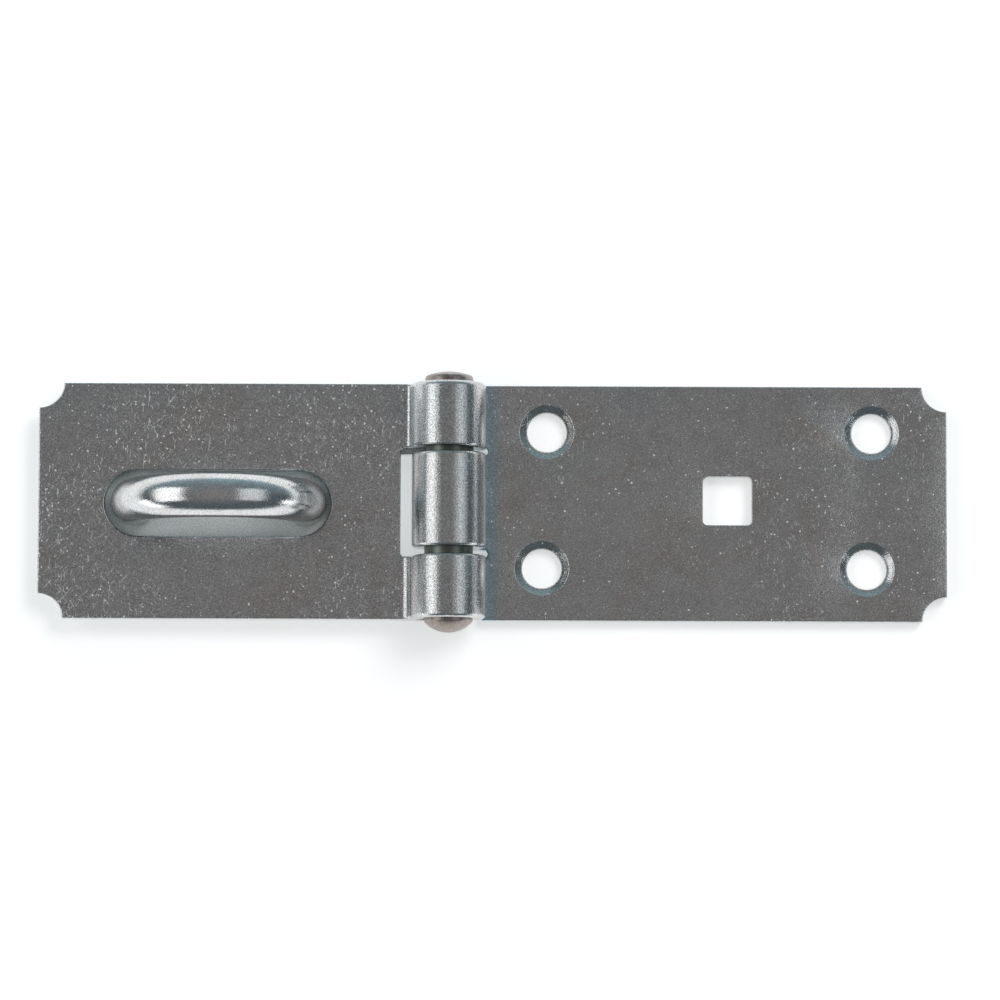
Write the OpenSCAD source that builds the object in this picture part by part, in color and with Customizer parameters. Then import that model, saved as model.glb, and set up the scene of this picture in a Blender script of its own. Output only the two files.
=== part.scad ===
// Hinged hasp with a fixed staple, closed. Millimetres.
// X runs along the leaves, Y along the hinge pin, Z away from the mounting surface.
// The origin is on the mounting plane, under the middle of the hinge pin.

/* [Leaves] */
// Thickness of the sheet steel of both leaves
sheet_t = 2.7; // [2.4:0.1:3]
// Width of both leaves, along the hinge pin
leaf_w = 49.5; // [48:0.5:56]
// Distance from the pin's axis to the free end of the hinge leaf
hinge_reach = 104.5; // [100:0.5:130]
// Distance from the pin's axis to the free end of the hasp leaf
hasp_reach = 86; // [82:0.5:100]
// Radius of the scooped corners at both free ends
corner_r = 5.2; // [3:0.1:7]

/* [Hinge] */
// Diameter of the hinge pin
pin_d = 10.2; // [9.6:0.1:10.8]
// Length of the middle knuckle
mid_knuckle = 19.9; // [16:0.1:22]
// Gap between neighbouring knuckles
knuckle_gap = 1.7; // [1:0.1:2]
// Radial running clearance of the pin in the middle knuckle
pin_clear = 0.06; // [0.03:0.01:0.1]
// Inner bend radius where the hinge leaf turns up to its knuckle, under the barrel's overhang
hinge_bend = 1; // [0.9:0.1:1.2]
// Inner bend radius where the hasp leaf turns up to its knuckles
hasp_bend = 2.25; // [1.8:0.05:2.6]
// Height of the riveted pin end at the +Y side
head_far = 2.3; // [1.6:0.1:3.4]
// Height of the riveted pin end at the -Y side
head_near = 2.9; // [2.6:0.1:3.4]

/* [Hinge leaf holes] */
// Diameter of the screw holes
screw_d = 8.2; // [5:0.1:8.5]
// Diameter of the countersinks at the surface
csk_d = 11.3; // [10:0.1:12]
// Screw spacing along the leaf
screw_dx = 68.2; // [60:0.1:72]
// Screw spacing across the leaf
screw_dy = 28.7; // [24:0.1:30]
// Distance from the pin's axis to the screw pattern's middle
screw_mid = 54.1; // [50:0.1:58]
// How much further out the upper screw row is than the lower one
row_shift = 1; // [0:0.1:1.5]
// Distance of the hole pattern's middle from the leaf's own middle line
holes_y = 0.6; // [0:0.1:1]
// Side of the square hole for a carriage bolt
square_w = 10.2; // [8:0.1:11]
// Distance from the pin's axis to the square hole's middle
square_x = 58.4; // [50:0.1:62]
// Radius of the square hole's corners
square_r = 1; // [0.5:0.1:1.5]

/* [Slot and staple] */
// Length of the slot in the hasp leaf
slot_l = 47.4; // [47:0.1:50]
// Width of the slot in the hasp leaf
slot_w = 13.8; // [12:0.1:16]
// Distance from the pin's axis to the slot's middle
slot_x = 48.4; // [46:0.1:54]
// Diameter of the staple's rod
rod_d = 9.2; // [8:0.1:9.6]
// Spacing of the staple's legs, centre to centre
leg_dx = 35.8; // [34:0.1:37]
// Height of the rod's centre at the top of the staple, above the mounting plane
staple_z = 25; // [23:0.5:30]
// Thickness of the staple plate
plate_t = 2.4; // [1.8:0.1:2.4]
// Length of the staple plate
plate_l = 62; // [58:0.5:68]
// Width of the staple plate
plate_w = 40; // [38:0.5:42]
// Diameter of the staple plate's screw holes
plate_screw_d = 5.2; // [4:0.1:5.5]

/* [Hidden] */
$fn = 96;
pin_r = pin_d/2;
// outer radius of every knuckle; also the height of the pin's axis
ko = pin_r + sheet_t;
zc = ko;
// the middle knuckle's bore is larger than the pin by the running clearance
ki_mid = pin_r + pin_clear;
half_mid = mid_knuckle/2;
outer_in = half_mid + knuckle_gap;
// start of the hinge leaf's bend, from tangency with the knuckle
hb_z = sheet_t + hinge_bend;
hb_x = sqrt(pow(hinge_bend + ko, 2) - pow(hb_z - zc, 2));
hb_a = atan2(hb_z - zc, hb_x);
// the hasp leaf lies one sheet higher, over the staple plate
leaf_z = sheet_t;
sb_z = leaf_z + sheet_t + hasp_bend;
sb_x = sqrt(pow(hasp_bend + ko, 2) - pow(sb_z - zc, 2));
sb_a = atan2(sb_z - zc, sb_x);
shoulder_x = 0.885*ko;
relief_x = 1.1*ko;
// the bend runs this many degrees into the knuckle, so that they join
lap = 0.003;
tail_hinge = 3;
tail_hasp = 11.5;
staple_x = -slot_x + 0.3;
staple_y = -0.5;
leg_r = leg_dx/2;
spring_z = staple_z - leg_r;
tenon_r = rod_d/2 - 1.3;
plate_r = 4;
plate_dx = plate_l - 14;
plate_dy = plate_w - 14;

// draws a section in X and Z along Y, from y0 to y1
module along_y(y0, y1) {
    translate([0, y1, 0]) rotate([90, 0, 0]) linear_extrude(y1 - y0) children();
}

// a pie slice from angle a0 to a1, up to 180 degrees
module slice(r, a0, a1) {
    m = (a0 + a1)/2;
    polygon([[0, 0], [r*cos(a0), r*sin(a0)], [2*r*cos(m), 2*r*sin(m)], [r*cos(a1), r*sin(a1)]]);
}

// half the bend: sheet turned up from flat by the angle a
module bend_section(x, z, r, a) {
    translate([x, z]) intersection() {
        difference() { circle(r + sheet_t); circle(r); }
        slice(3*r + 10, 270 - a - lap, 270);
    }
}

// knuckle section that wraps from the bend over the pin to a flat tail below
module curl_section(ri, ang, tail) {
    translate([0, zc]) difference() {
        circle(ko);
        circle(ri);
        slice(4*ko, 270, 360 + ang);
    }
    square([tail, sheet_t]);
}

module scoops(x) {
    for (s = [-1, 1]) translate([x, s*leaf_w/2, -1]) cylinder(r = corner_r, h = 4*sheet_t);
}

module countersunk(x, y, top, d, rim) {
    translate([x, y, top - 4*sheet_t]) cylinder(d = d, h = 5*sheet_t);
    translate([x, y, top - (rim - d)/2]) cylinder(d1 = d, d2 = rim + 2, h = (rim - d)/2 + 1);
}

module hinge_leaf() {
    color("lightslategray") difference() {
        union() {
            translate([relief_x, -leaf_w/2, 0]) cube([hinge_reach - relief_x, leaf_w, sheet_t]);
            // the middle knuckle's tongue, with a relief gap to the shoulder on each side
            translate([hb_x, -half_mid, 0]) cube([relief_x - hb_x, mid_knuckle, sheet_t]);
            for (s = [-1, 1]) translate([shoulder_x, s > 0 ? outer_in : -leaf_w/2, 0])
                cube([relief_x - shoulder_x, leaf_w/2 - outer_in, sheet_t]);
            along_y(-half_mid, half_mid) {
                bend_section(hb_x, hb_z, hinge_bend, 90 - hb_a);
                curl_section(pin_r, hb_a, tail_hinge);
            }
        }
        // the middle knuckle turns on the pin
        translate([0, half_mid + 1, zc]) rotate([90, 0, 0]) cylinder(r = ki_mid, h = mid_knuckle + 2);
        scoops(hinge_reach);
        for (s = [-1, 1]) {
            for (r = [-1, 1])
                countersunk(screw_mid + r*screw_dx/2 + s*row_shift/2, s*screw_dy/2 + holes_y, sheet_t, screw_d, csk_d);
        }
        // square hole with rounded corners
        translate([square_x, holes_y, -1]) {
            translate([-square_w/2 + square_r, -square_w/2, 0]) cube([square_w - 2*square_r, square_w, 3*sheet_t]);
            translate([-square_w/2, -square_w/2 + square_r, 0]) cube([square_w, square_w - 2*square_r, 3*sheet_t]);
            for (i = [-1, 1], j = [-1, 1])
                translate([i*(square_w/2 - square_r), j*(square_w/2 - square_r), 0]) cylinder(r = square_r, h = 3*sheet_t);
        }
    }
}

module hasp_leaf() {
    color("slategray") difference() {
        union() {
            translate([-hasp_reach, -leaf_w/2, leaf_z]) cube([hasp_reach - sb_x, leaf_w, sheet_t]);
            for (s = [0, 1]) mirror([0, s, 0]) mirror([1, 0, 0]) along_y(outer_in, leaf_w/2) {
                bend_section(sb_x, sb_z, hasp_bend, 90 - sb_a);
                curl_section(pin_r, sb_a, tail_hasp);
            }
        }
        translate([0, 0, leaf_z]) scoops(-hasp_reach);
        // slot for the staple
        translate([-slot_x, staple_y, leaf_z - 1]) {
            translate([-(slot_l - slot_w)/2, -slot_w/2, 0]) cube([slot_l - slot_w, slot_w, sheet_t + 2]);
            for (i = [-1, 1]) translate([i*(slot_l - slot_w)/2, 0, 0]) cylinder(d = slot_w, h = sheet_t + 2);
        }
    }
}

// low riveted end on the pin's own diameter, with a crown of radius R, as a half section
module pin_end(h, R) {
    intersection() {
        translate([0, h - R]) circle(r = R);
        circle(r = pin_r);
        square([pin_r, h + 1]);
    }
}

module hinge_pin() {
    color("rosybrown") translate([0, 0, zc]) {
        translate([0, leaf_w/2, 0]) rotate([90, 0, 0]) cylinder(r = pin_r, h = leaf_w);
        translate([0, leaf_w/2, 0]) rotate([-90, 0, 0]) rotate_extrude() pin_end(head_far, 2.5*pin_r);
        translate([0, -leaf_w/2, 0]) rotate([90, 0, 0]) rotate_extrude() pin_end(head_near, 1.3*pin_r);
    }
}

module staple_plate() {
    color("silver") translate([staple_x, staple_y, 0]) difference() {
        union() {
            translate([-plate_l/2 + plate_r, -plate_w/2, 0]) cube([plate_l - 2*plate_r, plate_w, plate_t]);
            translate([-plate_l/2, -plate_w/2 + plate_r, 0]) cube([plate_l, plate_w - 2*plate_r, plate_t]);
            for (i = [-1, 1], j = [-1, 1])
                translate([i*(plate_l/2 - plate_r), j*(plate_w/2 - plate_r), 0]) cylinder(r = plate_r, h = plate_t);
        }
        for (i = [-1, 1]) {
            translate([i*leg_r, 0, -1]) cylinder(r = tenon_r, h = plate_t + 2);
            for (j = [-1, 1])
                countersunk(i*plate_dx/2, j*plate_dy/2, plate_t, plate_screw_d, plate_screw_d + 3.4);
        }
    }
}

module staple() {
    color("gainsboro") translate([staple_x, staple_y, 0]) {
        // half-round arch
        translate([0, 0, spring_z]) rotate([90, 0, 0])
            rotate_extrude(angle = 180) translate([leg_r, 0]) circle(d = rod_d);
        for (i = [-1, 1]) translate([i*leg_r, 0, 0]) {
            translate([0, 0, plate_t]) cylinder(d = rod_d, h = spring_z - plate_t);
            // shouldered and riveted into the plate
            translate([0, 0, 0.2]) cylinder(r = tenon_r, h = plate_t);
        }
    }
}

hinge_leaf();
hasp_leaf();
hinge_pin();
staple_plate();
staple();
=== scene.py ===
import math

import bmesh
import bpy
from mathutils import Matrix, Vector
from mathutils.geometry import delaunay_2d_cdt


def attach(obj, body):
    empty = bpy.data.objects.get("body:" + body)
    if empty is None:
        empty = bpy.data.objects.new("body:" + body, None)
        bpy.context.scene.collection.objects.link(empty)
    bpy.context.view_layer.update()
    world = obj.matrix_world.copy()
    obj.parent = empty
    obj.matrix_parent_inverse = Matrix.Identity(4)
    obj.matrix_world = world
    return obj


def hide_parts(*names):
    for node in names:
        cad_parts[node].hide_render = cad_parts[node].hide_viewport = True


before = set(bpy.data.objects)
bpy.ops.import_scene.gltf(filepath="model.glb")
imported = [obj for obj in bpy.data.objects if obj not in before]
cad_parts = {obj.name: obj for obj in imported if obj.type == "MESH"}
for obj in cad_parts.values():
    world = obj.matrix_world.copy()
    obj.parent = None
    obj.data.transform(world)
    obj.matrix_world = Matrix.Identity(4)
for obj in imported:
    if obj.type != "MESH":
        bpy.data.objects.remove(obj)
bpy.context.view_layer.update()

MM = 0.001
T = 2.7            # sheet thickness
PIN_R = 5.1
KO = PIN_R + T     # knuckle's outer radius, and the height of the pin's axis
ZC = KO
HALF_MID = 9.95
OUTER_IN = 11.65
W2 = 24.75         # half of the leaf's width


# ---------------------------------------------------------------- 2-D outlines
def arc(cx, cy, r, a0, a1, n):
    """Points of an arc in degrees, both ends included."""
    return [(cx + r * math.cos(math.radians(a0 + (a1 - a0) * i / n)),
             cy + r * math.sin(math.radians(a0 + (a1 - a0) * i / n))) for i in range(n + 1)]


def clean(loop):
    out = []
    for p in loop:
        if not out or math.dist(p, out[-1]) > 1e-4:
            out.append(p)
    if math.dist(out[0], out[-1]) < 1e-4:
        out.pop()
    return out


def resample(loop, step):
    """Splits long straight sides, so that later bending has points to move."""
    out = []
    for i, p in enumerate(loop):
        q = loop[(i + 1) % len(loop)]
        k = max(1, math.ceil(math.dist(p, q) / step))
        for j in range(k):
            out.append((p[0] + (q[0] - p[0]) * j / k, p[1] + (q[1] - p[1]) * j / k))
    return out


def area(loop):
    return 0.5 * sum(a[0] * b[1] - b[0] * a[1] for a, b in zip(loop, loop[1:] + loop[:1]))


def ccw(loop):
    return loop if area(loop) > 0 else loop[::-1]


def offset(loop, d):
    """Moves every point into the material by d. The loop runs with the material on its left."""
    n = len(loop)
    out = []
    for i in range(n):
        a, b, c = loop[i - 1], loop[i], loop[(i + 1) % n]
        u = Vector((b[0] - a[0], b[1] - a[1])).normalized()
        v = Vector((c[0] - b[0], c[1] - b[1])).normalized()
        nu, nv = Vector((-u.y, u.x)), Vector((-v.y, v.x))
        m = nu + nv
        if m.length < 1e-6:
            m = nu
        m = m / max(m.length_squared / 2, 0.35) if m.length_squared else nu
        out.append((b[0] + m.x * d, b[1] + m.y * d))
    return out


def edge_round(top, bottom, r_top, r_bottom, bulge=0.0):
    """Edge profile from the top face to the bottom face as (inset, height) steps."""
    steps = []
    for k in range(5):
        a = math.radians(90 * k / 4)
        steps.append((r_top * (1 - math.sin(a)), top - r_top * (1 - math.cos(a))))
    for k in range(5):
        a = math.radians(90 * k / 4)
        steps.append((r_bottom * (1 - math.cos(a)), bottom + r_bottom * (1 - math.sin(a))))
    return steps


def countersink(top, bottom, r_hole, r_rim):
    """(outward step from the hole's own radius, height) from the top face down: rounded rim, cone, rounded throat."""
    depth = (r_rim - r_hole) * 0.75
    pts = [(r_rim - r_hole + 0.16, top), (r_rim - r_hole + 0.05, top - 0.03), (r_rim - r_hole - 0.06, top - 0.13)]
    pts += [(0.75 * (r_rim - r_hole), top - 0.27 * depth - 0.05), (0.42 * (r_rim - r_hole), top - 0.62 * depth)]
    pts += [(0.10, top - depth + 0.06), (0.02, top - depth - 0.10), (0.0, top - depth - 0.35)]
    pts += [(0.0, bottom + 0.25), (0.05, bottom + 0.09), (0.22, bottom)]
    return pts


def sheet_mesh(name, outer, holes, cuts):
    """A flat sheet with the given outline, z from -T/2 to T/2. outer is (loop, profile); holes are (loop, profile).
    cuts are the x stations where the sheet will bend."""
    bm = bmesh.new()
    loops = []
    o_loop = ccw(outer[0])
    loops.append((o_loop, outer[1]))
    for loop, prof in holes:
        loops.append((ccw(loop)[::-1], prof))
    rings_top, rings_bottom = [], []
    for loop, prof in loops:
        rings = []
        for inset, z in prof:
            ring = [bm.verts.new((x, y, z)) for x, y in offset(loop, inset)]
            rings.append(ring)
        for a, b in zip(rings, rings[1:]):
            n = len(a)
            for i in range(n):
                j = (i + 1) % n
                bm.faces.new((a[i], b[i], b[j], a[j]))
        rings_top.append(rings[0])
        rings_bottom.append(rings[-1])
    for rings, flip in ((rings_top, False), (rings_bottom, True)):
        pts, edges, owner = [], [], []
        for ring in rings:
            base = len(pts)
            for v in ring:
                pts.append(Vector((v.co.x, v.co.y)))
                owner.append(v)
            n = len(ring)
            edges += [(base + i, base + (i + 1) % n) for i in range(n)]
        # faces only inside the outline and outside every hole
        vs, es, fs, ov, oe, of = delaunay_2d_cdt(pts, edges, [], 0, 1e-7)
        z = rings[0][0].co.z
        made = []
        for i, v in enumerate(vs):
            made.append(owner[ov[i][0]] if ov[i] and ov[i][0] < len(owner) else bm.verts.new((v.x, v.y, z)))
        polys = [[(w.co.x, w.co.y) for w in ring] for ring in rings]
        for f in fs:
            cx = sum(vs[i].x for i in f) / len(f)
            cy = sum(vs[i].y for i in f) / len(f)
            if not inside(polys[0], cx, cy) or any(inside(h, cx, cy) for h in polys[1:]):
                continue
            idx = list(f)
            if flip:
                idx = idx[::-1]
            vv = [made[i] for i in idx]
            if len(set(vv)) == len(vv):
                try:
                    bm.faces.new(vv)
                except ValueError:
                    pass
    for x in cuts:
        geom = bm.verts[:] + bm.edges[:] + bm.faces[:]
        bmesh.ops.bisect_plane(bm, geom=geom, dist=1e-6, plane_co=(x, 0, 0), plane_no=(1, 0, 0))
    bmesh.ops.remove_doubles(bm, verts=bm.verts[:], dist=1e-5)
    bmesh.ops.triangulate(bm, faces=[f for f in bm.faces if len(f.verts) > 4])
    bmesh.ops.recalc_face_normals(bm, faces=bm.faces[:])
    return bm


def inside(poly, x, y):
    c = False
    n = len(poly)
    j = n - 1
    for i in range(n):
        xi, yi = poly[i]
        xj, yj = poly[j]
        if (yi > y) != (yj > y) and x < (xj - xi) * (y - yi) / (yj - yi) + xi:
            c = not c
        j = i
    return c


def finish_object(name, bm, mat, angle=38.0):
    me = bpy.data.meshes.new(name)
    for v in bm.verts:
        v.co = v.co * MM
    bm.normal_update()
    bm.to_mesh(me)
    bm.free()
    o = bpy.data.objects.new(name, me)
    bpy.context.scene.collection.objects.link(o)
    me.polygons.foreach_set("use_smooth", [True] * len(me.polygons))
    me.set_sharp_from_angle(angle=math.radians(angle))
    me.materials.append(mat)
    return o


# ---------------------------------------------------------------- how a leaf bends
class Roll:
    """Maps the flat blank to the formed leaf. x is the distance from the pin's axis along the blank, measured on the leaf side;
    below x0 the blank turns up through the bend, runs over the pin and ends in a short flat tail under it."""

    def __init__(self, z0, rb, run_deg=None):
        self.z0, self.rb = z0, rb
        self.bz = z0 + T + rb
        self.x0 = math.sqrt((rb + KO) ** 2 - (self.bz - ZC) ** 2)
        self.a = math.atan2(self.bz - ZC, self.x0)
        self.rm_b = rb + T / 2
        self.rm_k = KO - T / 2
        self.l1 = self.rm_b * (math.pi / 2 - self.a)
        self.l2 = self.rm_k * (1.5 * math.pi - self.a)

    def point(self, x, n):
        s = self.x0 - x
        if s <= 0:
            return x, self.z0 + T / 2 + n
        if s <= self.l1:
            th = 1.5 * math.pi - s / self.rm_b
            r = self.rm_b - n
            return self.x0 + r * math.cos(th), self.bz + r * math.sin(th)
        s -= self.l1
        if s <= self.l2:
            th = self.a + s / self.rm_k
            r = self.rm_k + n
            return r * math.cos(th), ZC + r * math.sin(th)
        s -= self.l2
        return s, T / 2 - n

    def stations(self, tail):
        out = [self.x0]
        k = 10
        out += [self.x0 - self.l1 * i / k for i in range(1, k + 1)]
        k = 44
        out += [self.x0 - self.l1 - self.l2 * i / k for i in range(1, k + 1)]
        return out


def soften(y, n, ends, f):
    """Makes the rounding of the outer edge f times larger at the two ends of a knuckle, in step with the surface beside it."""
    for e, sgn in ((ends[0], 1.0), (ends[1], -1.0)):
        d = (y - e) * sgn
        if -1e-6 <= d < 3.0 and f > 1.0 and n > 0.0:
            r = 0.32
            d2 = f * d if d <= r else f * r + (d - r) * (3.0 - f * r) / (3.0 - r)
            if d <= r + 1e-4:
                n = T / 2 - (T / 2 - n) * f
            return e + sgn * d2, n
    return y, n


def wobble(x, y, z, amount, seed):
    """A hand's breadth of unevenness for pressed sheet: smooth, and far below a tenth of a millimetre."""
    return amount * (math.sin(0.11 * x + 0.7 * seed) * math.cos(0.16 * y + seed) + 0.5 * math.sin(0.23 * x - 0.19 * y + 2.1 * seed)) / 1.5


# ---------------------------------------------------------------- materials
def zinc(name, base=(0.62, 0.62, 0.62), brown=(0.60, 0.575, 0.555), blue=(0.585, 0.605, 0.62), rough=(0.15, 0.24),
         grain=0.6, specks=0.5, seed=0.0, peel=0.000055, barrel_reflection_band=None, painted_gap_shade=None, metal=1.0, painted_shade_mix=0.55):
    m = bpy.data.materials.new(name)
    m.use_nodes = True
    nt = m.node_tree
    nt.nodes.clear()
    N, L = nt.nodes.new, nt.links.new

    def node(kind, **kw):
        n = N(kind)
        for k, v in kw.items():
            setattr(n, k, v)
        return n

    out = node("ShaderNodeOutputMaterial")
    bs = node("ShaderNodeBsdfPrincipled")
    L(bs.outputs[0], out.inputs["Surface"])
    tc = node("ShaderNodeTexCoord")
    mp = node("ShaderNodeMapping")
    mp.inputs["Location"].default_value = (seed * 0.013, seed * 0.007, seed * 0.003)
    L(tc.outputs["Object"], mp.inputs["Vector"])

    def noise(scale, detail=3.0, rough_=0.55, dist=0.0, vec=None):
        n = node("ShaderNodeTexNoise")
        n.inputs["Scale"].default_value = scale
        n.inputs["Detail"].default_value = detail
        n.inputs["Roughness"].default_value = rough_
        n.inputs["Distortion"].default_value = dist
        L((vec or mp).outputs[0], n.inputs["Vector"])
        return n

    def ramp(src, stops, interp="LINEAR"):
        r = node("ShaderNodeValToRGB")
        r.color_ramp.interpolation = interp
        el = r.color_ramp.elements
        while len(el) > 1:
            el.remove(el[-1])
        el[0].position, el[0].color = stops[0][0], (*stops[0][1], 1)
        for p, c in stops[1:]:
            e = el.new(p)
            e.color = (*c, 1)
        L(src, r.inputs[0])
        return r

    def mix(a, b, fac, kind="MIX"):
        x = node("ShaderNodeMix", data_type="RGBA", blend_type=kind)
        if isinstance(fac, float):
            x.inputs[0].default_value = fac
        else:
            L(fac, x.inputs[0])
        for sock, v in ((x.inputs[6], a), (x.inputs[7], b)):
            if isinstance(v, tuple):
                sock.default_value = (*v, 1)
            else:
                L(v, sock)
        return x.outputs[2]

    def maths(op, a, b=None, clamp=False):
        x = node("ShaderNodeMath", operation=op, use_clamp=clamp)
        for sock, v in ((x.inputs[0], a), (x.inputs[1], b)):
            if v is None:
                continue
            if isinstance(v, (int, float)):
                sock.default_value = v
            else:
                L(v, sock)
        return x.outputs[0]

    # chromate mottling: broad brownish and bluish clouds, then a fine mottle
    big = noise(55, 4, 0.6, 0.6)
    mid = noise(260, 4, 0.62, 0.3)
    fine = noise(3300, 2, 0.7)
    cloud = ramp(big.outputs["Fac"], [(0.34, brown), (0.48, base), (0.60, base), (0.72, blue)])
    fine_tone = ramp(mid.outputs["Fac"], [(0.30, (0.93, 0.925, 0.92)), (0.52, (1.0, 1.0, 1.0)), (0.75, (1.05, 1.05, 1.055))])
    col = mix(cloud.outputs[0], fine_tone.outputs[0], 1.0, "MULTIPLY")
    grainy = ramp(fine.outputs["Fac"], [(0.38, (0.66, 0.66, 0.67)), (0.5, (1.0, 1.0, 1.0)), (0.62, (1.3, 1.3, 1.29))])
    col = mix(col, grainy.outputs[0], grain, "MULTIPLY")

    # tiny bright nicks and pits
    vor = node("ShaderNodeTexVoronoi", feature="F1")
    vor.inputs["Scale"].default_value = 620
    vor.inputs["Randomness"].default_value = 1.0
    L(mp.outputs[0], vor.inputs["Vector"])
    vsep = node("ShaderNodeSeparateColor")
    L(vor.outputs["Color"], vsep.inputs[0])
    near = maths("LESS_THAN", vor.outputs["Distance"], 0.16)
    some = maths("GREATER_THAN", vsep.outputs[0], 0.95 - 0.06 * specks)
    patch = ramp(noise(38, 3, 0.6, 0.2).outputs["Fac"], [(0.42, (0, 0, 0)), (0.62, (1, 1, 1))])
    nick = maths("MULTIPLY", maths("MULTIPLY", near, some), maths("ADD", maths("MULTIPLY", patch.outputs[0], 0.8), 0.2), clamp=True)
    col = mix(col, (0.86, 0.86, 0.86), maths("MULTIPLY", nick, 0.75 * min(1.0, specks + 0.2)))

    tiny = node("ShaderNodeTexVoronoi", feature="F1")
    tiny.inputs["Scale"].default_value = 1500
    L(mp.outputs[0], tiny.inputs["Vector"])
    tsep = node("ShaderNodeSeparateColor")
    L(tiny.outputs["Color"], tsep.inputs[0])
    high = node("ShaderNodeSeparateXYZ")
    L(tc.outputs["Object"], high.inputs[0])
    flats = maths("SUBTRACT", 1.0, maths("MULTIPLY", maths("GREATER_THAN", high.outputs[2], 5.45 * MM), 0.75))
    size = maths("ADD", 0.12, maths("MULTIPLY", tsep.outputs[1], 0.22))
    odds = maths("SUBTRACT", 1.0, maths("MULTIPLY", flats, maths("MULTIPLY", maths("ADD", 0.4, patch.outputs[0]), 0.15 * specks)))
    dot = maths("MULTIPLY", maths("LESS_THAN", tiny.outputs["Distance"], size), maths("GREATER_THAN", tsep.outputs[0], odds))
    dust = node("ShaderNodeTexVoronoi", feature="F1")
    dust.inputs["Scale"].default_value = 2300
    L(mp.outputs[0], dust.inputs["Vector"])
    dsep = node("ShaderNodeSeparateColor")
    L(dust.outputs["Color"], dsep.inputs[0])
    dust_m = maths("MULTIPLY", maths("LESS_THAN", dust.outputs["Distance"], 0.34), maths("GREATER_THAN", dsep.outputs[0], 1.0 - 0.13 * min(1.0, specks + 0.2)))
    dust_m = maths("MULTIPLY", dust_m, flats)
    col = mix(col, (0.95, 0.95, 0.94), maths("MAXIMUM", dot, maths("MULTIPLY", dust_m, 0.4)))

    # short scratches in two directions
    scr_total = None
    for k, (rot, sx, sy) in enumerate(((0.85, 420, 3300), (-1.0, 460, 3600), (1.5, 380, 3000))):
        mk = node("ShaderNodeMapping")
        mr = node("ShaderNodeMapping")
        mr.inputs["Rotation"].default_value = (0.0, 0.0, -rot)
        L(mp.outputs[0], mr.inputs["Vector"])
        mk.inputs["Scale"].default_value = (sx, sy, sx)
        L(mr.outputs[0], mk.inputs["Vector"])
        n = noise(1.0, 1, 0.5, 0.0, mk)
        r = ramp(n.outputs["Fac"], [(0.70, (0, 0, 0)), (0.745, (1, 1, 1))])
        scr_total = r.outputs[0] if scr_total is None else maths("MAXIMUM", scr_total, r.outputs[0])
    scr_total = maths("MULTIPLY", scr_total, flats)
    scr = maths("MULTIPLY", scr_total, maths("MULTIPLY", patch.outputs[0], min(1.0, specks + 0.1)), clamp=True)
    col = mix(col, (0.80, 0.80, 0.80), maths("MULTIPLY", scr, 0.5))

    # worn edges are brighter, and recesses get painted shade: a little darker and bluer where ambient occlusion finds
    # them
    geo = node("ShaderNodeNewGeometry")
    edge = ramp(geo.outputs["Pointiness"], [(0.515, (0, 0, 0)), (0.60, (1, 1, 1))])
    edge_n = maths("MULTIPLY", edge.outputs[0], maths("ADD", 0.35, maths("MULTIPLY", mid.outputs["Fac"], 0.6)), clamp=True)
    col = mix(col, (0.80, 0.80, 0.79), maths("MULTIPLY", edge_n, 0.55))
    # painted shade: colour darkened and blued in recesses by ambient occlusion
    ao = node("ShaderNodeAmbientOcclusion", samples=8)
    ao.inputs["Distance"].default_value = 0.006
    dark = ramp(ao.outputs["AO"], [(0.25, (0.62, 0.72, 0.74)), (0.85, (1, 1, 1))])
    col = mix(col, dark.outputs[0], painted_shade_mix, "MULTIPLY")
    if barrel_reflection_band or painted_gap_shade:
        sep = node("ShaderNodeSeparateXYZ")
        L(tc.outputs["Object"], sep.inputs[0])
    if barrel_reflection_band:
        # painted reflection: a teal tint on the flat where the barrel overhangs, standing in for the barrel's flank
        # mirrored there
        xa, xb, reflection_tint = barrel_reflection_band
        m1 = node("ShaderNodeMapRange", interpolation_type="SMOOTHSTEP")
        for i, v in enumerate((xa * MM, xb * MM, 1.0, 0.0)):
            m1.inputs[i + 1].default_value = v
        L(sep.outputs[0], m1.inputs[0])
        flat = maths("LESS_THAN", sep.outputs[2], 3.2 * MM)
        col = mix(col, reflection_tint, maths("MULTIPLY", m1.outputs[0], flat), "MULTIPLY")
    if painted_gap_shade:
        # painted shade: the pin between the knuckles is coloured near black, standing in for the deep shade in the gaps
        # between the knuckles
        m2 = maths("LESS_THAN", maths("ABSOLUTE", sep.outputs[1]), painted_gap_shade * MM)
        col = mix(col, (0.17, 0.185, 0.165), m2)
    L(col, bs.inputs["Base Color"])

    # roughness: clouds, fine grain, nicks
    r1 = maths("ADD", rough[0], maths("MULTIPLY", mid.outputs["Fac"], (rough[1] - rough[0]) * 1.1))
    r2 = maths("ADD", r1, maths("MULTIPLY", fine.outputs["Fac"], 0.10))
    r3 = maths("SUBTRACT", r2, maths("MULTIPLY", nick, 0.10), clamp=True)
    L(r3, bs.inputs["Roughness"])
    # white flecks and scratches scatter light instead of mirroring it
    dull = maths("MAXIMUM", maths("MULTIPLY", dot, maths("ADD", 0.45, maths("MULTIPLY", tsep.outputs[2], 0.55))), maths("MULTIPLY", scr, 0.55))
    dull = maths("MAXIMUM", dull, maths("MAXIMUM", maths("MULTIPLY", nick, 0.35), maths("MULTIPLY", dust_m, 0.30)))
    L(maths("MULTIPLY", maths("SUBTRACT", 1.0, dull, clamp=True), metal), bs.inputs["Metallic"])

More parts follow.
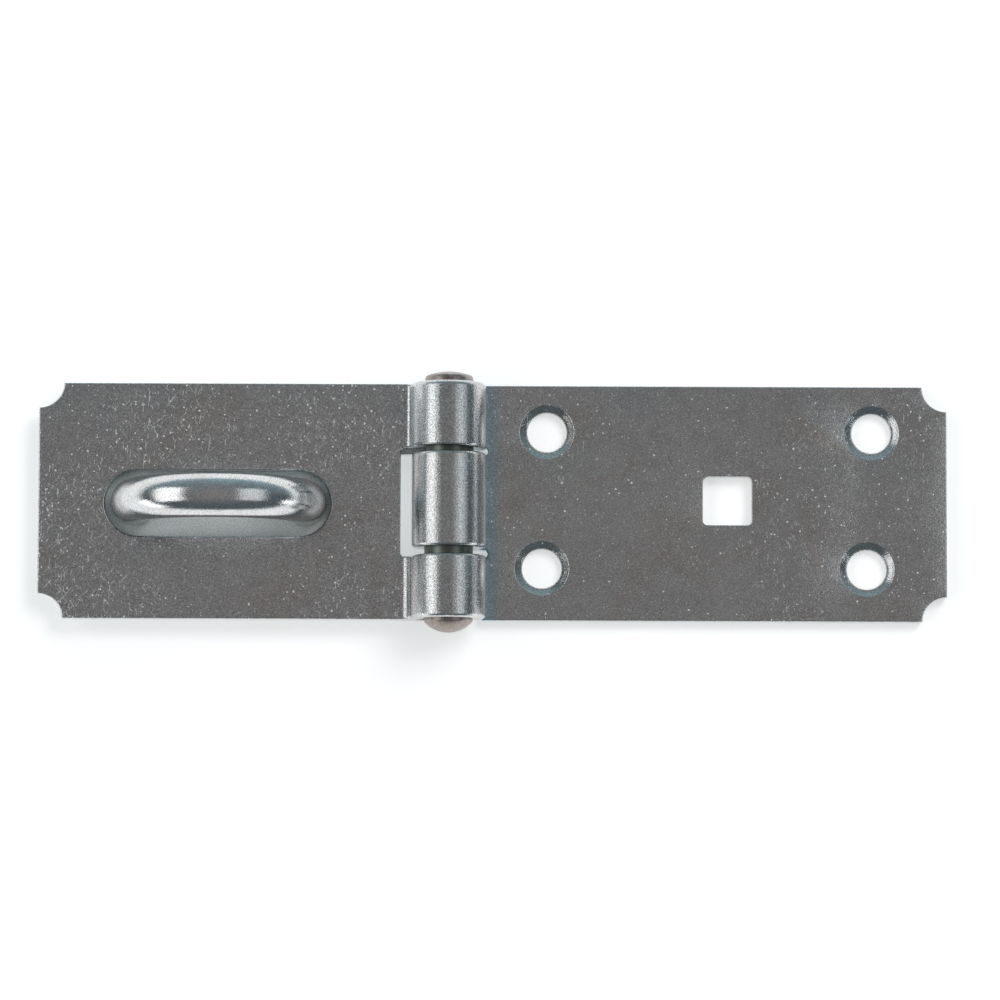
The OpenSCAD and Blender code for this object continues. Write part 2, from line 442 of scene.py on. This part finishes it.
    # relief: orange-peel grain of the plating, soft dents, scratches
    h1 = maths("MULTIPLY", noise(3900, 2, 0.6, 0.1).outputs["Fac"], peel * grain)
    h2 = maths("MULTIPLY", noise(130, 2, 0.5).outputs["Fac"], 0.00003)
    pit = maths("MULTIPLY", nick, maths("SUBTRACT", 0.16, vor.outputs["Distance"]))
    h3 = maths("ADD", maths("MULTIPLY", pit, -0.0006), maths("MULTIPLY", scr, -0.00003))
    hh = maths("ADD", maths("ADD", h1, h2), h3)
    bp = node("ShaderNodeBump")
    bp.inputs["Strength"].default_value = 1.0
    bp.inputs["Distance"].default_value = 1.0
    L(hh, bp.inputs["Height"])
    L(bp.outputs[0], bs.inputs["Normal"])
    return m


M_HASP = zinc("zinc_hasp", rough=(0.05, 0.12), specks=0.95, grain=0.85, seed=1.0)
# the hinge leaf carries a painted teal reflection of the barrel on the flat beside it
M_HINGE = zinc("zinc_hinge", rough=(0.05, 0.12), specks=0.45, grain=0.75, seed=7.0, barrel_reflection_band=(9.0, 11.2, (0.84, 1.05, 1.14)))
M_STAPLE = zinc("zinc_staple", base=(0.72, 0.72, 0.72), brown=(0.69, 0.67, 0.66), blue=(0.68, 0.71, 0.73), specks=0.12, grain=0.6, rough=(0.02, 0.07), seed=4.0, peel=0.00004)
M_PLATE = zinc("zinc_plate", base=(0.88, 0.92, 0.90), brown=(0.85, 0.89, 0.85), blue=(0.85, 0.91, 0.91), specks=0.3, grain=0.6, rough=(0.38, 0.50), seed=9.0, metal=0.42, painted_shade_mix=0.0)
# the pin's middle, seen only in the knuckle gaps, carries painted shade
M_PIN = zinc("steel_pin", base=(0.36, 0.305, 0.285), brown=(0.31, 0.235, 0.20), blue=(0.37, 0.335, 0.33), specks=0.3, grain=0.8, rough=(0.20, 0.30), seed=12.0, painted_gap_shade=20.0)

# ---------------------------------------------------------------- hinge leaf (right)
REACH = 104.5
rollR = Roll(0.0, 1.0)
xe = rollR.x0 - rollR.l1 - rollR.l2 - 2.9          # end of the tongue in the blank
lip = 6.95                                         # inner edge of the shoulders, under the outer knuckles
rel = 7.25                                         # centre of the round relief beside the tongue
cr = 5.2
outline = []
outline += [(lip, -W2)]
outline += arc(REACH, -W2, cr, 180, 90, 14)
outline += arc(REACH, W2, cr, 270, 180, 14)
outline += [(lip, W2), (lip, OUTER_IN + 0.35)]
outline += [(lip + 0.35, OUTER_IN)] + arc(rel, (OUTER_IN + HALF_MID) / 2, 0.85, 90, -90, 10)
outline += [(xe + 0.5, HALF_MID), (xe, HALF_MID - 0.5), (xe, -HALF_MID + 0.5), (xe + 0.5, -HALF_MID)]
outline += arc(rel, -(OUTER_IN + HALF_MID) / 2, 0.85, 90, -90, 10) + [(lip + 0.35, -OUTER_IN)]
outline += [(lip, -OUTER_IN - 0.35)]
outline = resample(clean(outline), 1.6)
holes = []
for x, y in ((20.5, 14.95), (88.7, 14.95), (19.5, -13.75), (87.7, -13.75)):
    holes.append((clean(arc(x, y, 4.1, 0, 360, 64)), countersink(T / 2, -T / 2, 4.1, 5.65)))
sq = []
for (sx, sy, a0, r) in ((1, 1, 0, 1.0), (-1, 1, 90, 1.35), (-1, -1, 180, 1.0), (1, -1, 270, 0.9)):
    sq += arc(58.4 + sx * (5.1 - r), 0.6 + sy * (5.1 - r), r, a0, a0 + 90, 8)
holes.append((resample(clean(sq), 0.9), edge_round(T / 2, -T / 2, 0.22, 0.12)))
bm = sheet_mesh("hinge", (outline, edge_round(T / 2, -T / 2, 0.32, 0.28)), holes, rollR.stations(2.9))
for v in bm.verts:
    x, y, n = v.co
    if abs(y) > 10.8:
        v.co = Vector((x, y, T / 2 + n))
        continue
    y, n = soften(y, n, (-HALF_MID, HALF_MID), 1.0 + 1.3 * min(1.0, max(0.0, rollR.x0 - x) / rollR.l1))
    X, Z = rollR.point(x, n)
    v.co = Vector((X, y, Z))
hinge = finish_object("hinge_leaf_formed", bm, M_HINGE)

# ---------------------------------------------------------------- hasp leaf (left), built on +X and mirrored
rollL = Roll(T, 2.25)
REACHL = 86.0
UP_IN, LO_IN = 11.3, 11.5                          # inner ends of the far and near knuckles
TAIL = 11.3
xeL = rollL.x0 - rollL.l1 - rollL.l2 - TAIL
win = rollL.x0 + 0.05                              # edge of the window between the outer knuckles
rollU = Roll(T, 1.4)                               # the far knuckle is bent up more tightly
outline = []
outline += [(xeL, -W2)] + arc(REACHL, -W2, cr, 180, 90, 14) + arc(REACHL, W2, cr, 270, 180, 14) + [(xeL, W2)]
outline += [(xeL, UP_IN)] + arc(win - 0.9, UP_IN - 0.9, 0.9, 90, 0, 6) + arc(win - 0.9, -LO_IN + 0.9, 0.9, 0, -90, 6) + [(xeL, -LO_IN)]
outline = resample(clean(outline), 1.6)
slot_c, slot_y, slot_h, slot_r = 48.4, -0.5, 16.8, 6.9
slot = arc(slot_c + slot_h, slot_y, slot_r, -90, 90, 32) + arc(slot_c - slot_h, slot_y, slot_r, 90, 270, 32)
holes = [(resample(clean(slot), 1.6), edge_round(T / 2, -T / 2, 0.42, 0.2))]
bm = sheet_mesh("hasp", (outline, edge_round(T / 2, -T / 2, 0.32, 0.28)), holes, sorted(set(rollL.stations(TAIL) + rollU.stations(TAIL))))
for v in bm.verts:
    x, y, n = v.co
    # the far curl was rolled slightly askew
    s = max(0.0, rollL.x0 - x)
    if y > 5:
        y -= 1.25 * (s / (rollL.l1 + rollL.l2 + TAIL)) ** 1.3 * (1.0 if y < 20 else 0.25)
        roll_ = rollU if x < 20 else rollL
    else:
        roll_ = rollL
    w = min(1.0, max(0.0, roll_.x0 - x) / roll_.l1)
    if v.co.y > 5:
        y2, n = soften(v.co.y, n, (UP_IN, W2), 1.0 + (2.6 if v.co.y > 20 else 1.0) * w)
    else:
        y2, n = soften(v.co.y, n, (-W2, -LO_IN), 1.0 + (1.6 if v.co.y < -20 else 1.0) * w)
    y += y2 - v.co.y
    X, Z = roll_.point(x, n)
    v.co = Vector((-X, y, Z))
bmesh.ops.reverse_faces(bm, faces=bm.faces[:])
hasp = finish_object("hasp_leaf_formed", bm, M_HASP)

# ---------------------------------------------------------------- pin
def lathe(name, prof, mat, seg=96, angle=40.0):
    """prof is (radius, height) from one pole to the other; the axis is Y at the pin's place."""
    bm = bmesh.new()
    rings = []
    for r, h in prof:
        if r < 1e-6:
            rings.append([bm.verts.new((0, h, ZC))])
        else:
            rings.append([bm.verts.new((r * math.sin(2 * math.pi * i / seg), h, ZC + r * math.cos(2 * math.pi * i / seg))) for i in range(seg)])
    for a, b in zip(rings, rings[1:]):
        for i in range(seg):
            j = (i + 1) % seg
            if len(a) == 1:
                bm.faces.new((a[0], b[i], b[j]))
            elif len(b) == 1:
                bm.faces.new((a[i], b[0], a[j]))
            else:
                bm.faces.new((a[i], b[i], b[j], a[j]))
    bmesh.ops.recalc_face_normals(bm, faces=bm.faces[:])
    return finish_object(name, bm, mat, angle)


def head(h, R, y, sgn, n=18):
    """Riveted end: a crown of radius R that turns down into round sides."""
    out = []
    for k in range(n + 1):
        r = PIN_R * math.sin(math.pi / 2 * k / n)
        top = h - R + math.sqrt(R * R - r * r)
        side = math.sqrt(max(0.0, PIN_R ** 2 - r * r))
        z = 0.0 if min(top, side) < 1e-6 else (top ** -7 + side ** -7) ** (-1 / 7)
        out.append((r, y + sgn * z))
    return out


far = head(2.3, 2.5 * PIN_R, W2, 1)
near = head(2.9, 1.3 * PIN_R, -W2, -1)
prof = far + [(PIN_R, y) for y in (W2 - 0.5, 20.2, 19.8, 12, 0, -12, -19.8, -20.2, -W2 + 0.5)] + near[::-1]
pin = lathe("hinge_pin_riveted", prof, M_PIN)

# ---------------------------------------------------------------- staple
SX, SY = -48.1, -0.5
ROD = 4.6
LEG, AP = 17.9, 25.0
path = []
for k in range(5):
    path.append((-LEG, 2.4 + (AP - LEG - 2.4) * k / 5))
n = 60
for k in range(n + 1):
    a = math.pi - math.pi * k / n
    path.append((LEG * math.cos(a), AP - LEG + LEG * math.sin(a)))
path += [(-x, z) for x, z in path[:5][::-1]]
bm = bmesh.new()
SEG = 56
rings = []
for i, (x, z) in enumerate(path):
    a = Vector(path[max(0, i - 1)])
    b = Vector(path[min(len(path) - 1, i + 1)])
    t = (b - a).normalized() if i not in (0, len(path) - 1) else Vector((0, 1 if i == 0 else -1))
    nrm = Vector((-t.y, t.x))
    ring = []
    for k in range(SEG):
        u = 2 * math.pi * k / SEG
        c, s = math.cos(u), math.sin(u)
        ring.append(bm.verts.new((SX + x + nrm.x * ROD * c, SY + ROD * s, z + nrm.y * ROD * c)))
    rings.append(ring)
for a, b in zip(rings, rings[1:]):
    for k in range(SEG):
        j = (k + 1) % SEG
        bm.faces.new((a[k], a[j], b[j], b[k]))
bm.faces.new(rings[0][::-1])
bm.faces.new(rings[-1])
bmesh.ops.recalc_face_normals(bm, faces=bm.faces[:])
staple = finish_object("staple_rod", bm, M_STAPLE, 60)

# ---------------------------------------------------------------- staple plate
PL, PW, PT = 62.0, 40.0, 2.4
pl = []
for (sx, sy, a0) in ((1, 1, 0), (-1, 1, 90), (-1, -1, 180), (1, -1, 270)):
    pl += arc(SX + sx * (PL / 2 - 4), SY + sy * (PW / 2 - 4), 4, a0, a0 + 90, 12)
ph = []
for i in (-1, 1):
    for j in (-1, 1):
        ph.append((clean(arc(SX + i * 24, SY + j * 13, 2.6, 0, 360, 48)), countersink(PT / 2, -PT / 2, 2.6, 4.3)))
bm = sheet_mesh("plate", (resample(clean(pl), 2.0), edge_round(PT / 2, -PT / 2, 0.3, 0.25)), ph, [])
for v in bm.verts:
    v.co.z += PT / 2
plate = finish_object("staple_plate_pressed", bm, M_PLATE)

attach(hinge, "hinge_half")
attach(hasp, "hasp_half")
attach(pin, "hasp_half")
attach(staple, "staple_set")
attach(plate, "staple_set")
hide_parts("hinge_leaf")
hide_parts("hasp_leaf")
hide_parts("hinge_pin")
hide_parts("staple")
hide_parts("staple_plate")

# ---------------------------------------------------------------- floor, light, camera
me = bpy.data.meshes.new("floor")
me.from_pydata([(-4, -4, 0), (4, -4, 0), (4, 4, 0), (-4, 4, 0)], [], [(0, 1, 2, 3)])
floor = bpy.data.objects.new("floor", me)
bpy.context.scene.collection.objects.link(floor)
fm = bpy.data.materials.new("floor_white")
fm.use_nodes = True
fb = fm.node_tree.nodes["Principled BSDF"]
fb.inputs["Base Color"].default_value = (0.93, 0.93, 0.93, 1)
fb.inputs["Roughness"].default_value = 0.9
fb.inputs["Specular IOR Level"].default_value = 0.1
fb.inputs["Emission Color"].default_value = (1.0, 1.0, 1.0, 1)
fb.inputs["Emission Strength"].default_value = 0.47
me.materials.append(fm)

world = bpy.data.worlds.new("studio")
bpy.context.scene.world = world
world.use_nodes = True
wt = world.node_tree
wt.nodes.clear()
wo = wt.nodes.new("ShaderNodeOutputWorld")
wb = wt.nodes.new("ShaderNodeBackground")
wc = wt.nodes.new("ShaderNodeTexCoord")
ws = wt.nodes.new("ShaderNodeSeparateXYZ")
wr = wt.nodes.new("ShaderNodeValToRGB")
wt.links.new(wc.outputs["Generated"], ws.inputs[0])
wt.links.new(ws.outputs[2], wr.inputs[0])
# the far side of the studio is lighter, a cool teal
wy = wt.nodes.new("ShaderNodeMath")
wy.operation, wy.use_clamp = "MAXIMUM", True
wt.links.new(ws.outputs[1], wy.inputs[0])
wy.inputs[1].default_value = 0.0
wz = wt.nodes.new("ShaderNodeMath")
wz.operation, wz.use_clamp = "SUBTRACT", True
wz.inputs[0].default_value = 1.0
wt.links.new(ws.outputs[2], wz.inputs[1])
wm = wt.nodes.new("ShaderNodeMath")
wm.operation, wm.use_clamp = "MULTIPLY", True
wt.links.new(wy.outputs[0], wm.inputs[0])
wt.links.new(wz.outputs[0], wm.inputs[1])
wx = wt.nodes.new("ShaderNodeMix")
wx.data_type, wx.blend_type = "RGBA", "ADD"
wt.links.new(wm.outputs[0], wx.inputs[0])
wt.links.new(wr.outputs[0], wx.inputs[6])
wx.inputs[7].default_value = (0.24, 0.36, 0.40, 1)
wt.links.new(wx.outputs[2], wb.inputs[0])
wt.links.new(wb.outputs[0], wo.inputs[0])
wb.inputs[1].default_value = 1.0
el = wr.color_ramp.elements
el[0].position, el[0].color = 0.0, (0.34, 0.38, 0.40, 1)
el[1].position, el[1].color = 1.0, (0.235, 0.23, 0.23, 1)
for p, c in ((0.05, (0.17, 0.20, 0.215)), (0.14, (0.10, 0.12, 0.13)), (0.55, (0.11, 0.13, 0.14)), (0.90, (0.20, 0.21, 0.215)), (0.97, (0.235, 0.23, 0.23))):
    e = el.new(p)
    e.color = (*c, 1)


def softbox(name, ang, half, dist, length, radiance, color=(1, 1, 1)):
    """An area light ang degrees from straight up, towards +X if positive, half degrees wide to each side."""
    a = math.radians(ang)
    d = bpy.data.lights.new(name, "AREA")
    d.shape = "RECTANGLE"
    d.size = 2 * dist * math.tan(math.radians(half))
    d.size_y = length
    d.energy = radiance * math.pi * d.size * d.size_y
    d.color = color
    o = bpy.data.objects.new(name, d)
    bpy.context.scene.collection.objects.link(o)
    o.location = (dist * math.sin(a), 0.0, dist * math.cos(a))
    o.rotation_euler = (0.0, a, 0.0)
    return o


softbox("softbox_left", -54, 16, 2.2, 2.6, 1.25)
softbox("softbox_right", 39, 14, 2.2, 2.4, 0.58, (0.95, 0.98, 1.0))

# a soft key from beyond the far right corner draws the shadow on the floor
kd = bpy.data.lights.new("key", "AREA")
kd.shape = "SQUARE"
kd.size = 1.3
kd.energy = 4.1 * math.pi * kd.size * kd.size
key = bpy.data.objects.new("key", kd)
bpy.context.scene.collection.objects.link(key)
aim = Vector((0.62, 0.70, 0.95)).normalized()
key.location = 2.5 * aim
key.rotation_euler = aim.to_track_quat("Z", "Y").to_euler()
key.visible_glossy = False

# low white cards towards the near corners, seen in the staple's shoulders and the countersinks' rims
for name, az, w, h, rad in (("card_left", 212, 0.75, 0.15, 2.4), ("card_right", 338, 0.30, 0.13, 3.0)):
    cd = bpy.data.lights.new(name, "AREA")
    cd.shape = "RECTANGLE"
    cd.size, cd.size_y = w, h
    cd.energy = rad * math.pi * w * h
    card = bpy.data.objects.new(name, cd)
    bpy.context.scene.collection.objects.link(card)
    out_ = Vector((math.cos(math.radians(az)), math.sin(math.radians(az)), 0.0))
    card.location = 1.2 * out_ + Vector((0, 0, 0.095))
    card.rotation_euler = out_.to_track_quat("Z", "Y").to_euler()

cam_d = bpy.data.cameras.new("camera")
cam = bpy.data.objects.new("camera", cam_d)
bpy.context.scene.collection.objects.link(cam)
cam_d.sensor_width = 36
cam_d.lens = 172.9
cam_d.clip_start = 0.01
tilt = math.radians(5.1)
target = Vector((0.0107, 0.0006, 0.0027))
cam.location = target + 1.008 * Vector((0, -math.sin(tilt), math.cos(tilt)))
roll = math.radians(0.22)
cam.rotation_euler = (Matrix.Rotation(tilt, 3, "X") @ Matrix.Rotation(roll, 3, "Z")).to_euler()
bpy.context.scene.camera = cam
bpy.context.scene.view_settings.view_transform = "Standard"
bpy.context.scene.view_settings.look = "None"

bpy.context.view_layer.update()
